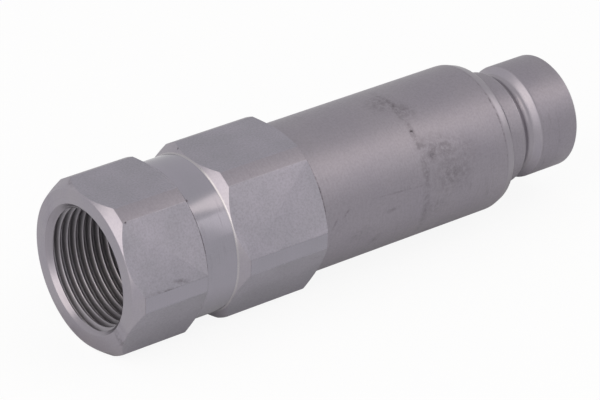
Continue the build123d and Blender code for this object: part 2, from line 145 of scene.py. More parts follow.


# Steel as the lathe or the drawing bench left it: rings from the tool round the axis, a fine grit, cloudy
# patches in the plating, and rubbed or soiled places where noise or the list of marks puts them; a few listed
# marks are painted shade instead. Real rings lie 0.1 to 0.2 mm apart and real grit is finer still, too fine
# to show, so both are drawn coarser.
def steelMaterial(name, look, marks=()):
    grain = steelGrain
    soil = srgb(look["soil"])
    material, tree = newMaterial(name)
    place = addNode(tree, "TexCoord").outputs["Object"]
    parts = addNode(tree, "SeparateXYZ", links={0: place}).outputs
    across = addNode(tree, "CombineXYZ", links={"Y": parts["Y"], "Z": parts["Z"]})
    radius = addNode(tree, "VectorMath", {"operation": "LENGTH"}, {0: across}).outputs["Value"]
    along = addNode(tree, "Math", {"operation": "MULTIPLY_ADD", 1: grain["ringsOnFaces"]},
                    {0: radius, 2: parts["X"]})
    rings = addNode(tree, "TexNoise", {
        "noise_dimensions": "1D", "Scale": 1 / (look["ringPitch"] * mm), "Detail": grain["ringDetail"]},
        {"W": along}).outputs[0]
    grit = addNode(tree, "TexNoise", {
        "Scale": 1 / (look["gritSize"] * mm), "Detail": grain["gritDetail"],
        "Roughness": grain["gritRoughness"]}, {"Vector": place}).outputs[0]
    clouds = addNode(tree, "TexNoise", {
        "Scale": 1 / (look["cloudSize"] * mm), "Detail": grain["cloudDetail"],
        "Roughness": grain["cloudRoughness"]}, {"Vector": place}).outputs[0]

    patch = addNode(tree, "MapRange", {"From Min": grain["cloudLow"], "From Max": grain["cloudHigh"]},
                    {"Value": clouds})
    colour = addNode(tree, "Mix", {
        "data_type": "RGBA", 6: srgb(look["colour"]), 7: srgb(look["cloudColour"])}, {0: patch}).outputs[2]
    speck = addNode(tree, "MapRange", {
        "From Min": grain["speckLow"], "From Max": grain["speckHigh"], "To Max": look["speckle"]},
        {"Value": grit})
    colour = addNode(tree, "Mix", {"data_type": "RGBA", 7: soil}, {0: speck, 6: colour}).outputs[2]
    shade = addNode(tree, "MapRange", {
        "From Min": grain["ringLow"], "From Max": grain["ringHigh"], "To Max": look["ringShade"]},
        {"Value": rings})
    colour = addNode(tree, "Mix", {"data_type": "RGBA", 7: soil}, {0: shade, 6: colour}).outputs[2]

    # light rubbing, in short streaks round the axis
    streaks = addNode(tree, "Mapping", {"Scale": [1 / (size * mm) for size in grain["streakSize"]]},
                      {"Vector": place})
    streaks = addNode(tree, "TexNoise", {
        "Scale": 1.0, "Detail": grain["streakDetail"], "Roughness": grain["streakRoughness"]},
        {"Vector": streaks})
    streaks = addNode(tree, "MapRange", {"From Min": grain["streakLow"], "From Max": grain["streakHigh"]},
                      {"Value": streaks})
    where = addNode(tree, "TexNoise", {
        "Scale": 1 / (grain["rubbedSize"] * mm), "Detail": grain["rubbedDetail"]}, {"Vector": place})
    where = addNode(tree, "MapRange", {
        "From Min": grain["rubbedLow"], "From Max": grain["rubbedHigh"], "To Max": look["rub"]},
        {"Value": where})
    worn = addNode(tree, "Math", {"operation": "MULTIPLY"}, {0: streaks, 1: where})

    # the listed marks, each an ellipse on the unrolled surface, broken up by noise: stains, and in a few
    # places painted shade
    if marks:
        below = addNode(tree, "Math", {"operation": "MULTIPLY", 1: -1.0}, {0: parts["Y"]})
        angle = addNode(tree, "Math", {"operation": "ARCTAN2"}, {0: parts["Z"], 1: below})
        arc = addNode(tree, "Math", {"operation": "MULTIPLY", 1: markRadius * mm}, {0: angle})
        unrolled = addNode(tree, "CombineXYZ", links={"X": parts["X"], "Y": arc})
        crumbs = addNode(tree, "TexNoise", {
            "Scale": 1 / (grain["crumbSize"] * mm), "Detail": grain["crumbDetail"],
            "Roughness": grain["crumbRoughness"]}, {"Vector": place})
        crumbs = addNode(tree, "MapRange", {"From Min": grain["crumbLow"], "From Max": grain["crumbHigh"]},
                         {"Value": crumbs})
        soiled = None
        for x, degrees, halfLength, halfWidth, tilt, depth in marks:
            spot = addNode(tree, "Mapping", {
                "vector_type": "TEXTURE", "Location": (x * mm, radians(degrees) * markRadius * mm, 0),
                "Rotation": (0, 0, radians(tilt)), "Scale": (halfLength * mm, halfWidth * mm, 1)},
                {"Vector": unrolled})
            away = addNode(tree, "VectorMath", {"operation": "LENGTH"}, {0: spot}).outputs["Value"]
            spot = addNode(tree, "MapRange", {
                "From Min": grain["markCore"], "From Max": 1.0, "To Min": depth, "To Max": 0.0},
                {"Value": away})
            soiled = spot if soiled is None else addNode(tree, "Math", {"operation": "MAXIMUM"},
                                                         {0: soiled, 1: spot})
        core = addNode(tree, "Math", {"operation": "SUBTRACT", "use_clamp": True, 1: 1.0}, {0: soiled})
        soiled = addNode(tree, "Math", {"operation": "MULTIPLY_ADD"}, {0: soiled, 1: crumbs, 2: core})
        worn = addNode(tree, "Math", {"operation": "MAXIMUM"}, {0: worn, 1: soiled})
    colour = addNode(tree, "Mix", {"data_type": "RGBA", 7: soil}, {0: worn, 6: colour}).outputs[2]

    shine = addNode(tree, "MapRange", {
        "From Min": grain["shineLow"], "From Max": grain["shineHigh"],
        "To Min": look["roughness"] - look["uneven"], "To Max": look["roughness"] + look["uneven"]},
        {"Value": grit})
    shine = addNode(tree, "Math", {"operation": "MULTIPLY_ADD", 1: grain["soilAndShadeDulls"]}, {0: worn, 2: shine})
    height = addNode(tree, "Math", {"operation": "MULTIPLY", 1: look["gritHeight"]}, {0: grit})
    height = addNode(tree, "Math", {"operation": "MULTIPLY_ADD", 1: look["ringHeight"]},
                     {0: rings, 2: height})
    bump = addNode(tree, "Bump", {"Strength": 1.0, "Distance": mm}, {"Height": height})
    settings = {"Metallic": 1.0, "Specular Tint": [look["edgeTint"]] * 3 + [1]}
    links = {"Base Color": colour, "Roughness": shine, "Normal": bump}
    if look["groove"]:
        settings.update({"Anisotropic": look["groove"], "Anisotropic Rotation": grain["grooveTurn"]})
        links["Tangent"] = addNode(tree, "Tangent", {"direction_type": "RADIAL", "axis": "X"})
    shader = addNode(tree, "BsdfPrincipled", settings, links)
    addNode(tree, "OutputMaterial", links={"Surface": shader})
    return material


# Marks on the outside: x in mm, degrees round from the front, half length and half width in mm, tilt in
# degrees, and how dark they are; those above 1 keep an unbroken core. Most are stains and rubs; those noted
# as painted shade darken a corner, a seam and an edge.
barrelMarks = [
    (90.8, 78, 1.7, 10, 0, 0.62),      # the ring that something rubbed round the barrel's middle
    (90.8, 48, 1.1, 9, 0, 0.62),
    (91.0, 22, 1.5, 9, 0, 0.50),
    (90.6, -10, 1.5, 13, 0, 0.40),
    (88.5, 84, 5.5, 5.0, 20, 0.42),
    (92.5, 70, 3.5, 4.5, 10, 0.45),
    (90.7, 52, 0.8, 0.7, 0, 1.5),
    (92.0, 40, 3.0, 4.0, 0, 0.40),
    (97.0, 33, 8.5, 5.0, -25, 0.48),
    (99.0, 12, 8.0, 7.5, 0, 0.40),
    (94.0, 30, 3.0, 2.6, 0, 0.62),
    (104.0, 26, 6.0, 6.0, 20, 0.25),
    (94.0, -12, 5.0, 4.0, 0, 0.30),
    (58.5, 35, 0.7, 24, 0, 1.6),       # painted shade in the corner behind the hexagon, this line and the next
    (58.6, 150, 0.7, 30, 0, 0.8),
    (116.9, 46, 0.35, 20, 0, 0.7),     # painted shade along the edge before the barrel's taper
    (83.0, 12, 10.0, 0.35, -4, 0.40),
    (79.5, 0, 3.2, 0.8, 0, 0.42),
    (75.3, -24, 3.0, 1.6, 40, 0.40),
    (65.2, 10, 2.0, 0.5, 42, 0.50),
    (61.5, 5, 2.2, 0.45, 55, 0.45),
    (70.0, -12, 5.0, 3.0, 10, 0.20),
    (72.0, 200, 7.0, 1.0, 15, 0.40),   # and some on the side away from the camera
    (101.0, 165, 3.0, 5.0, 0, 0.35),
    (85.0, 235, 4.0, 0.5, 30, 0.45),
]
fineMarks = [
    (22.05, 0, 0.4, 63, 0, 1.6),       # painted shade in the seam between adapter and body
    (22.3, 57, 0.7, 0.6, 0, 1.6),
]
flatMarks = [
    (9.5, 5.2, 8.0, 0.45, -5, 0.65),   # the stain along the lower edge of the port's front flat
    (13.5, 7.8, 3.0, 0.7, -12, 0.60),
    (3.2, 54.6, 0.6, 0.45, 20, 1.5),
    (54.6, -13, 2.5, 0.8, -10, 0.30),
    (43.0, 260, 6.0, 0.9, 12, 0.35),
    (14.0, 190, 4.0, 1.2, -30, 0.30),
]
facedMarks = [
    (0.6, -38, 1.6, 1.8, 0, 0.75),     # the smudge at the port's lower corner
    (1.0, -27, 1.4, 1.6, 0, 0.60),
    (1.6, 108, 1.4, 2.6, 0, 0.60),
    (1.0, 132, 1.0, 1.2, 0, 0.5),
    (32.6, 107.5, 0.6, 0.4, 0, 1.7),   # the dark dot on top of the body's hexagon
]

# The finishes, with their sizes, pitches and heights in mm. First zinc-nickel plate over turned steel, on the
# barrel, the nose and the hexagons' upper corners: a warm grey satin with soft, wide highlights.
platedTurned = steelMaterial("zincNickelTurned", {
    "colour": "#8d888f", "cloudColour": "#8a858d", "soil": "#4d474c", "rub": 0.18, "edgeTint": 0.88,
    "ringPitch": 0.35, "ringShade": 0.05, "ringHeight": 0.0015, "gritSize": 0.55, "gritHeight": 0.003,
    "speckle": 0.10, "cloudSize": 16, "roughness": 0.46, "uneven": 0.03, "groove": 0.3}, barrelMarks)
# The same plate on the finely turned neck and on the hexagons' lower corners: smoother, so lights show as
# bands along the axis. On the lower corners its lighter colour is painted light, to make them brighter than
# the upper ones.
platedFine = steelMaterial("zincNickelFineTurned", {
    "colour": "#928e97", "cloudColour": "#8e8b93", "soil": "#565056", "rub": 0.15, "edgeTint": 0.88,
    "ringPitch": 0.25, "ringShade": 0.05, "ringHeight": 0.0, "gritSize": 0.5, "gritHeight": 0.0,
    "speckle": 0.03, "cloudSize": 14, "roughness": 0.15, "uneven": 0.004, "groove": 0.55}, fineMarks)
# The same plate where a form tool cut, on the barrel's taper, the relief behind it, the floor of the nose's
# groove and the port's mouth: softer bands.
platedFormed = steelMaterial("zincNickelFormTurned", {
    "colour": "#908b92", "cloudColour": "#8d888f", "soil": "#565056", "rub": 0.15, "edgeTint": 0.85,
    "ringPitch": 0.3, "ringShade": 0.06, "ringHeight": 0.0, "gritSize": 0.5, "gritHeight": 0.0,
    "speckle": 0.04, "cloudSize": 14, "roughness": 0.32, "uneven": 0.01, "groove": 0.3})
# The same plate on the faced port end, the hexagons' front cones and the groove's slopes: the lightest of the
# turned faces, its lighter colour partly the faced finish and partly painted light on these faces.
platedFaced = steelMaterial("zincNickelFaced", {
    "colour": "#9a959c", "cloudColour": "#96919a", "soil": "#4d474c", "rub": 0.12, "edgeTint": 0.9,
    "ringPitch": 0.3, "ringShade": 0.05, "ringHeight": 0.001, "gritSize": 0.5, "gritHeight": 0.002,
    "speckle": 0.07, "cloudSize": 9, "roughness": 0.38, "uneven": 0.02, "groove": 0.2}, facedMarks)
# The bright line where the neck meets the hexagon, burnished by the tool's nose; its lighter colour is partly
# a painted highlight.
burnished = steelMaterial("zincNickelBurnished", {
    "colour": "#a39fa3", "cloudColour": "#9d999d", "soil": "#6d676c", "rub": 0.1, "edgeTint": 0.9,
    "ringPitch": 0.25, "ringShade": 0.0, "ringHeight": 0.0, "gritSize": 0.5, "gritHeight": 0.0,
    "speckle": 0.03, "cloudSize": 5, "roughness": 0.28, "uneven": 0.01, "groove": 0.3})
# The same plate on the bright-drawn flats of the hexagon bar: even, with a fine pickled grain.
platedDrawn = steelMaterial("zincNickelDrawn", {
    "colour": "#928e97", "cloudColour": "#8c8991", "soil": "#4f494e", "rub": 0.0, "edgeTint": 0.9,
    "ringPitch": 0.6, "ringShade": 0.0, "ringHeight": 0.0, "gritSize": 0.5, "gritHeight": 0.004,
    "speckle": 0.16, "cloudSize": 9, "roughness": 0.42, "uneven": 0.03, "groove": 0.0}, flatMarks)
# The same plate on the flanks of the cut thread, where it is thin and dull: no bands, only soft light.
platedCut = steelMaterial("zincNickelCutThread", {
    "colour": "#98949a", "cloudColour": "#918d92", "soil": "#4d474a", "rub": 0.1, "edgeTint": 1.0,
    "ringPitch": 0.3, "ringShade": 0.0, "ringHeight": 0.0, "gritSize": 0.4, "gritHeight": 0.0,
    "speckle": 0.05, "cloudSize": 6, "roughness": 0.43, "uneven": 0.01, "groove": 0.0})
# Bare turned steel, kept bright by the oil inside: clear rings and a cleaner grey.
turnedSteel = steelMaterial("turnedSteel", {
    "colour": "#9b9a9b", "cloudColour": "#959394", "soil": "#6d6a67", "rub": 0.2, "edgeTint": 1.0,
    "ringPitch": 0.3, "ringShade": 0.15, "ringHeight": 0.002, "gritSize": 0.4, "gritHeight": 0.0,
    "speckle": 0.05, "cloudSize": 10, "roughness": 0.28, "uneven": 0.01, "groove": 0.5})
# Hardened and ground steel of the poppet and the pilot pin: the brightest, with the finest rings.
groundSteel = steelMaterial("groundSteel", {
    "colour": "#a9a8aa", "cloudColour": "#a4a2a5", "soil": "#7d7a7e", "rub": 0.2, "edgeTint": 1.0,
    "ringPitch": 0.15, "ringShade": 0.12, "ringHeight": 0.0, "gritSize": 0.3, "gritHeight": 0.0,
    "speckle": 0.04, "cloudSize": 8, "roughness": 0.20, "uneven": 0.01, "groove": 0.4})
# Hard-drawn spring wire, blue-grey from its oxide, with a slight sheen.
springWire = steelMaterial("drawnSpringWire", {
    "colour": "#77767a", "cloudColour": "#6b6a70", "soil": "#3f3d40", "rub": 0.3, "edgeTint": 1.0,
    "ringPitch": 0.4, "ringShade": 0.06, "ringHeight": 0.0, "gritSize": 0.25, "gritHeight": 0.002,
    "speckle": 0.15, "cloudSize": 3, "roughness": 0.34, "uneven": 0.02, "groove": 0.0})


# What the plastics and the rubber share: noise detail, and the values between which each pattern fades in.
mouldedGrain = {
    "cloudDetail": 3.0, "cloudLow": 0.35, "cloudHigh": 0.65,
    "grainDetail": 2.0, "shineLow": 0.3, "shineHigh": 0.7,
}


# Moulded or turned plastics and rubber: one colour with faint flow clouds, a fine grain and a soft gloss.
def mouldedMaterial(name, look):
    shared = mouldedGrain
    material, tree = newMaterial(name)
    place = addNode(tree, "TexCoord").outputs["Object"]
    clouds = addNode(tree, "TexNoise", {
        "Scale": 1 / (look["cloudSize"] * mm), "Detail": shared["cloudDetail"]}, {"Vector": place})
    grain = addNode(tree, "TexNoise", {
        "Scale": 1 / (look["grainSize"] * mm), "Detail": shared["grainDetail"]}, {"Vector": place})
    patch = addNode(tree, "MapRange", {"From Min": shared["cloudLow"], "From Max": shared["cloudHigh"]},
                    {"Value": clouds})
    colour = addNode(tree, "Mix", {
        "data_type": "RGBA", 6: srgb(look["colour"]), 7: srgb(look["cloudColour"])}, {0: patch}).outputs[2]
    shine = addNode(tree, "MapRange", {
        "From Min": shared["shineLow"], "From Max": shared["shineHigh"],
        "To Min": look["roughness"] - look["uneven"], "To Max": look["roughness"] + look["uneven"]},
        {"Value": grain})
    height = addNode(tree, "Math", {"operation": "MULTIPLY", 1: look["grainHeight"]}, {0: grain})
    bump = addNode(tree, "Bump", {"Strength": 1.0, "Distance": mm}, {"Height": height})
    shader = addNode(tree, "BsdfPrincipled", {"IOR": look["ior"]},
                     {"Base Color": colour, "Roughness": shine, "Normal": bump})
    addNode(tree, "OutputMaterial", links={"Surface": shader})
    return material


# Black nitrile rubber, moulded and oiled: near black with a dull sheen.
nitrileRubber = mouldedMaterial("nitrileRubber", {
    "colour": "#1b1b1c", "cloudColour": "#232324", "cloudSize": 4, "grainSize": 0.3, "grainHeight": 0.004,
    "roughness": 0.48, "uneven": 0.06, "ior": 1.52})
# Turned PTFE of the backup rings: off-white and waxy.
turnedPtfe = mouldedMaterial("turnedPtfe", {
    "colour": "#dcd8cc", "cloudColour": "#d2cdc0", "cloudSize": 5, "grainSize": 0.25, "grainHeight": 0.003,
    "roughness": 0.42, "uneven": 0.06, "ior": 1.35})
print("materials made")


# how the turned pieces are made
shop = {
    "mergeDistance": 1e-7,      # m
    "cornerSteps": 3,           # in a rounded corner of an outline
    "cornerShare": 0.45,        # of the shorter side beside it, the most that a rounding takes
    "longEdge": 10,             # times the size of its break, the least length of an edge that is broken
    "alongAxis": 0.9,           # share of its length that such an edge runs along the axis
    "lowCorner": 0.5,           # share of the flats' reach below which a corner is a low one
    "acrossAxis": 0.1,          # the most of X in the normal of such a corner
    "breakSteps": 3,
    "sharpAngle": 35,           # degrees, past which an edge is shaded sharp
    "rimAngle": 3,              # and past which it is at the rim of a flat or of the thread's cone,
    "rimFinish": 1,             # whose finish has this number in its piece's list
}


# A closed outline of (x, radius) points in mm, as wire at the top of the axis.
def drawOutline(outline):
    bm = bmesh.new()
    verts = [bm.verts.new((x * mm, 0, r * mm)) for x, r in outline]
    edges = [bm.edges.new(pair) for pair in zip(verts, verts[1:] + verts[:1])]
    return bm, verts + edges


# Lathe work: an outline spun about the X axis.
def lathe(outline, steps):
    bm, wire = drawOutline(outline)
    bmesh.ops.spin(bm, geom=wire, cent=(0, 0, 0), axis=axisX, dvec=(0, 0, 0), angle=tau, steps=steps,
                   use_merge=True)
    bmesh.ops.remove_doubles(bm, verts=bm.verts, dist=shop["mergeDistance"])
    bmesh.ops.recalc_face_normals(bm, faces=bm.faces)
    return bm


# An outline whose corners are rounded: each entry is (x, radius, rounding). The rounding is how far back on
# its two sides the curve starts and ends.
def rounded(corners):
    steps = shop["cornerSteps"]
    outline = []
    count = len(corners)
    for i, (x, r, size) in enumerate(corners):
        here = Vector((x, r))
        before = Vector(corners[i - 1][:2]) - here
        after = Vector(corners[(i + 1) % count][:2]) - here
        reach = min(size, shop["cornerShare"] * before.length, shop["cornerShare"] * after.length)
        if reach <= 0:
            outline.append((x, r))
            continue
        start = here + before.normalized() * reach
        end = here + after.normalized() * reach
        for k in range(steps + 1):
            t = k / steps
            point = start * (1 - t) ** 2 + here * (2 * t * (1 - t)) + end * t ** 2
            outline.append((point.x, point.y))
    return outline


# Each item once and in the order given, which a set would lose from one run to the next.
def onlyOnce(items):
    return list(dict.fromkeys(items))


# Cuts off what lies past a plane, closes the cut and gives the new faces.
def cutOff(bm, geom, point, normal):
    cut = bmesh.ops.bisect_plane(bm, geom=geom, dist=shop["mergeDistance"], plane_co=point, plane_no=normal,
                                 clear_outer=True)
    rim = [e for e in cut["geom_cut"] if isinstance(e, bmesh.types.BMEdge) and e.is_boundary]
    return bmesh.ops.holes_fill(bm, edges=rim, sides=0)["faces"]


# Mills the six flats of a hexagon, one after the other, and gives them their own finish.
def millFlats(bm, reach, start, end):
    for side in range(6):
        angle = side * pi / 3 + pi / 2
        normal = Vector((0, cos(angle), sin(angle)))
        inside = [f for f in bm.faces if start < f.calc_center_median().x < end]
        edges = onlyOnce(e for f in inside for e in f.edges)
        verts = onlyOnce(v for f in inside for v in f.verts)
        for face in cutOff(bm, verts + edges + inside, normal * reach, normal):
            face.material_index = shop["rimFinish"]
            face.normal_update()
            if face.normal.dot(normal) < 0:
                face.normal_flip()


# Breaks the long edges between the flats and the turned corners left between them. The lower corners get the
# given finish, smoother and lighter in colour: the lighter colour is painted light that makes them brighter
# than the upper corners.
def roundFlats(bm, reach, size, index):
    long = []
    for edge in onlyOnce(e for f in bm.faces if f.material_index == shop["rimFinish"] for e in f.edges):
        length = edge.calc_length()
        run = abs(edge.verts[0].co.x - edge.verts[1].co.x)
        if length > shop["longEdge"] * size * mm and run > shop["alongAxis"] * length:
            long.append(edge)
    start = min(v.co.x for e in long for v in e.verts)
    end = max(v.co.x for e in long for v in e.verts)
    for face in bm.faces:
        centre = face.calc_center_median()
        radius = hypot(centre.y, centre.z)
        if (start < centre.x < end and centre.z < shop["lowCorner"] * reach * mm and radius > reach * mm
                and abs(face.normal.x) < shop["acrossAxis"] and face.material_index == 0):
            face.material_index = index
    broken = bmesh.ops.bevel(bm, geom=long, offset=size * mm, offset_type="OFFSET",
                             segments=shop["breakSteps"], profile=0.5, affect="EDGES", material=-1)
    for face in broken["faces"]:
        face.material_index = shop["rimFinish"]


# Turns a bmesh into a piece, smooth but for its sharp edges and the rims round its flats.
def makePiece(bm, name, materials, body, replaced, sharpAngle=shop["sharpAngle"]):
    for edge in bm.edges:
        beside = {f.material_index for f in edge.link_faces}
        limit = shop["rimAngle"] if shop["rimFinish"] in beside and len(beside) == 2 else sharpAngle
        edge.smooth = len(edge.link_faces) < 2 or edge.calc_face_angle(0) < radians(limit)
    for face in bm.faces:
        face.smooth = True
    mesh = bpy.data.meshes.new(name)
    bm.to_mesh(mesh)
    bm.free()
    for material in materials:
        mesh.materials.append(material)
    piece = bpy.data.objects.new(name, mesh)
    bpy.context.scene.collection.objects.link(piece)
    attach(piece, body)
    if replaced:
        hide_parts(*replaced)
    return piece


# coupling body: neck, wrench hexagon, barrel, shoulder and nose in one turned piece, lengths and radii in mm
bodyLook = {
    "steps": 180,               # round the axis
    "neckLength": 9.2, "hexLength": 27.0, "hexFrontChamfer": 2.3, "hexBackChamfer": 1.2,
    "neckRelief": 0.25, "seamRounding": 0.3, "neckFillet": 0.1, "burnishedHighlightLine": 0.3, "flatEdge": 0.2,
    "barrelRelief": 1.0, "barrelLength": 61.8, "barrelTaper": 2.8, "taperDepth": 0.9, "taperRounding": 0.6,
    "reliefDepth": 1.2, "reliefLength": 1.3, "reliefCone": 1.3, "landLength": 4.1, "landRounding": 0.4,
    "grooveDepth": 1.9, "grooveWall": 2.2, "grooveFloor": 1.8, "grooveCone": 1.8, "grooveRounding": 1.0,
    "noseRadius": 15.0, "noseChamfer": 0.85,
    "edge": 0.15, "innerClearance": 0.05, "threadRadius": 18.0, "threadChamfer": 0.6, "threadLength": 12.0,
    "guideBoreLength": 14.0, "flowRadius": 11.5, "sealLead": 0.5,
    "sloping": 0.3, "steep": 0.5,   # shares of X in the normals of the faces that the form tool left
}


def makeCouplingBody(look):
    low, high = (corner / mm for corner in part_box("coupling_body"))
    seat, ring, guide, poppet = (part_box(name)[1] / mm for name in (
        "valve_seat_ring", "guide_retaining_ring", "front_guide", "flat_face_poppet"))
    half = high.z
    neck = half - look["neckRelief"]
    barrel = half - look["barrelRelief"]
    corner = high.y
    nose = look["noseRadius"]
    groove = nose - look["grooveDepth"]
    relief = nose - look["reliefDepth"]
    edge = look["edge"]
    hexX = low.x + look["neckLength"]
    burnish = look["burnishedHighlightLine"]
    barrelX = hexX + look["hexLength"]
    shoulderX = barrelX + look["barrelLength"]
    reliefX = shoulderX + look["reliefLength"]
    landX = reliefX + look["reliefCone"]
    grooveX = landX + look["landLength"]
    floorX = grooveX + look["grooveWall"]
    coneX = floorX + look["grooveFloor"]
    noseX = coneX + look["grooveCone"]
    gap = look["innerClearance"]
    chamber, ringGroove, guideBore, faceBore = (r + gap for r in (seat.y, ring.y, guide.y, poppet.y))
    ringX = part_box("guide_retaining_ring")[0].x / mm
    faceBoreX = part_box("poppet_seal")[0].x / mm - look["sealLead"]
    thread = look["threadRadius"]
    threadX = low.x + look["threadLength"]
    flow = look["flowRadius"]
    guideEndX = seat.x + look["guideBoreLength"]
    outline = rounded([
        (low.x, thread + look["threadChamfer"], 0),
        (low.x, neck, look["seamRounding"]),
        (hexX, neck, look["neckFillet"]),
        (hexX + burnish, neck + burnish * (corner - neck) / look["hexFrontChamfer"], 0),
        (hexX + look["hexFrontChamfer"], corner, edge),
        (barrelX - look["hexBackChamfer"], corner, edge),
        (barrelX, neck, edge),
        (barrelX, barrel, edge),
        (shoulderX - look["barrelTaper"], barrel, look["taperRounding"]),
        (shoulderX, barrel - look["taperDepth"], look["taperRounding"]),
        (shoulderX, relief, edge),
        (reliefX, relief, edge),
        (landX, nose, edge),
        (grooveX, nose, look["landRounding"]),
        (floorX, groove, look["grooveRounding"]),
        (coneX, groove, look["grooveRounding"]),
        (noseX, nose, look["landRounding"]),
        (high.x - look["noseChamfer"], nose, edge),
        (high.x, nose - look["noseChamfer"], edge),
        (high.x, faceBore, edge),
        (faceBoreX, faceBore, 0),
        (faceBoreX - (flow - faceBore), flow, 0),
        (guideEndX, flow, 0),
        (guideEndX, guideBore, 0),
        (ring.x, guideBore, 0),
        (ring.x, ringGroove, 0),
        (ringX, ringGroove, 0),
        (ringX, guideBore, 0),
        (seat.x, guideBore, 0),
        (seat.x, chamber, 0),
        (threadX + (thread - chamber), chamber, 0),
        (threadX, thread, 0),
        (low.x + look["threadChamfer"], thread, 0),
    ])
    bm = lathe(outline, look["steps"])
    millFlats(bm, half * mm, (hexX - look["neckFillet"]) * mm, barrelX * mm)
    finishes = [platedTurned, platedDrawn, platedFine, platedFormed, platedFaced, burnished]
    fine, formed, faced, bright = range(2, 6)       # their numbers in the list
    for face in bm.faces:
        centre = face.calc_center_median() / mm
        radius = hypot(centre.y, centre.z)
        slope = abs(face.normal.x)
        if face.material_index == 0 and radius > thread and centre.x < hexX + look["hexFrontChamfer"]:
            if centre.x < hexX - edge:
                face.material_index = fine
            else:
                face.material_index = bright if centre.x < hexX + burnish else faced
        elif shoulderX - look["barrelTaper"] < centre.x < shoulderX and radius > barrel - look["taperDepth"]:
            face.material_index = formed
        elif centre.x > shoulderX + edge and radius > flow and (slope > look["sloping"] or radius < relief):
            face.material_index = faced if grooveX < centre.x < noseX and slope > look["steep"] else formed
    roundFlats(bm, half, look["flatEdge"], fine)
    makePiece(bm, "couplingBody", finishes, "housing", ["coupling_body"])


makeCouplingBody(bodyLook)
print("coupling body made")


# port adapter: the other hexagon, with the port in its end face and the spigot behind it, also in mm
adapterLook = {
    "steps": 180,               # round the axis
    "hexLength": 22.0, "hexFrontChamfer": 2.4, "hexBackChamfer": 1.2, "rimRelief": 0.1, "flatEdge": 0.2,
    "portRadius": 16.625, "mouthChamfer": 0.1, "portDepth": 19.5, "drillPoint": 2.8, "edge": 0.15,
    "undercutRadius": 16.45, "undercutLength": 2.0, "threadRadius": 17.95, "threadEnd": 31.8,
    "glandRadius": 14.05, "glandGap": 0.02, "endChamfer": 0.5, "passageRadius": 12.0,
    "steep": 0.5,               # share of X in the normals of the faced end and the front cone
}


def makePortAdapter(look):
    low, high = (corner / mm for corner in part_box("port_adapter"))
    half = high.z
    rim = half - look["rimRelief"]
    corner = high.y
    edge = look["edge"]
    port = look["portRadius"]
    mouth = look["mouthChamfer"]
    hexEnd = low.x + look["hexLength"]
    thread = look["threadRadius"]
    undercut = look["undercutRadius"]
    runOut = thread - undercut
    undercutEnd = hexEnd + look["undercutLength"]
    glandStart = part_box("adapter_backup_ring")[0].x / mm - look["glandGap"]
    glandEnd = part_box("adapter_o_ring")[1].x / mm + look["glandGap"]
    outline = rounded([
        (low.x, port + mouth, edge),
        (low.x, rim, edge),
        (low.x + look["hexFrontChamfer"], corner, edge),
        (hexEnd - look["hexBackChamfer"], corner, edge),
        (hexEnd, rim, edge),
        (hexEnd, undercut, 0),
        (undercutEnd, undercut, 0),
        (undercutEnd + runOut, thread, 0),
        (look["threadEnd"], thread, 0),
        (look["threadEnd"] + runOut, undercut, 0),
        (glandStart, undercut, 0),
        (glandStart, look["glandRadius"], 0),
        (glandEnd, look["glandRadius"], 0),
        (glandEnd, undercut, 0),
        (high.x - look["endChamfer"], undercut, 0),
        (high.x, undercut - look["endChamfer"], 0),
        (high.x, look["passageRadius"], 0),
        (look["portDepth"] + look["drillPoint"], look["passageRadius"], 0),
        (look["portDepth"], port, 0),
        (mouth, port, 0),
    ])
    bm = lathe(outline, look["steps"])
    millFlats(bm, half * mm, low.x, hexEnd * mm)
    finishes = [platedTurned, platedDrawn, platedFormed, platedCut, platedFaced, platedFine]
    formed, threaded, faced, fine = range(2, 6)     # their numbers in the list
    for face in bm.faces:
        centre = face.calc_center_median() / mm
        radius = hypot(centre.y, centre.z)
        if face.material_index == 0 and radius < port + mouth and centre.x < high.x:
            face.material_index = formed if centre.x < mouth else threaded
        elif (face.material_index == 0 and face.normal.x < -look["steep"]
                and centre.x < look["hexFrontChamfer"]):
            face.material_index = faced
    roundFlats(bm, half, look["flatEdge"], fine)
    makePiece(bm, "portAdapter", finishes, "housing", ["port_adapter"])


makePortAdapter(adapterLook)
print("port adapter made")


# port thread: a Whitworth ridge wound round the port's wall, its first turns cut back by the mouth's cone
threadLook = {
    "pitch": 2.309, "rounding": 0.317,      # mm, as the standard has them
    "flankAngle": 27.5,                     # degrees, half the angle between the flanks
    "sink": 0.08, "gap": 0.01,              # mm into the wall, and mm that the turns stay apart
    "crestSteps": 6, "rootSteps": 3, "flankSteps": 6, "stepsPerTurn": 96, "turns": 10,
    "phase": 1.13, "start": -1.2,           # mm, where a crest lies and where the winding starts
    "fullCone": 1.0,                        # mm, up to here every turn is cut back to the mouth's cone
    "lastX": 19.3,
    "seamDistance": 1e-6,                   # m, within which the turns are joined
    "sharpAngle": 40,
}


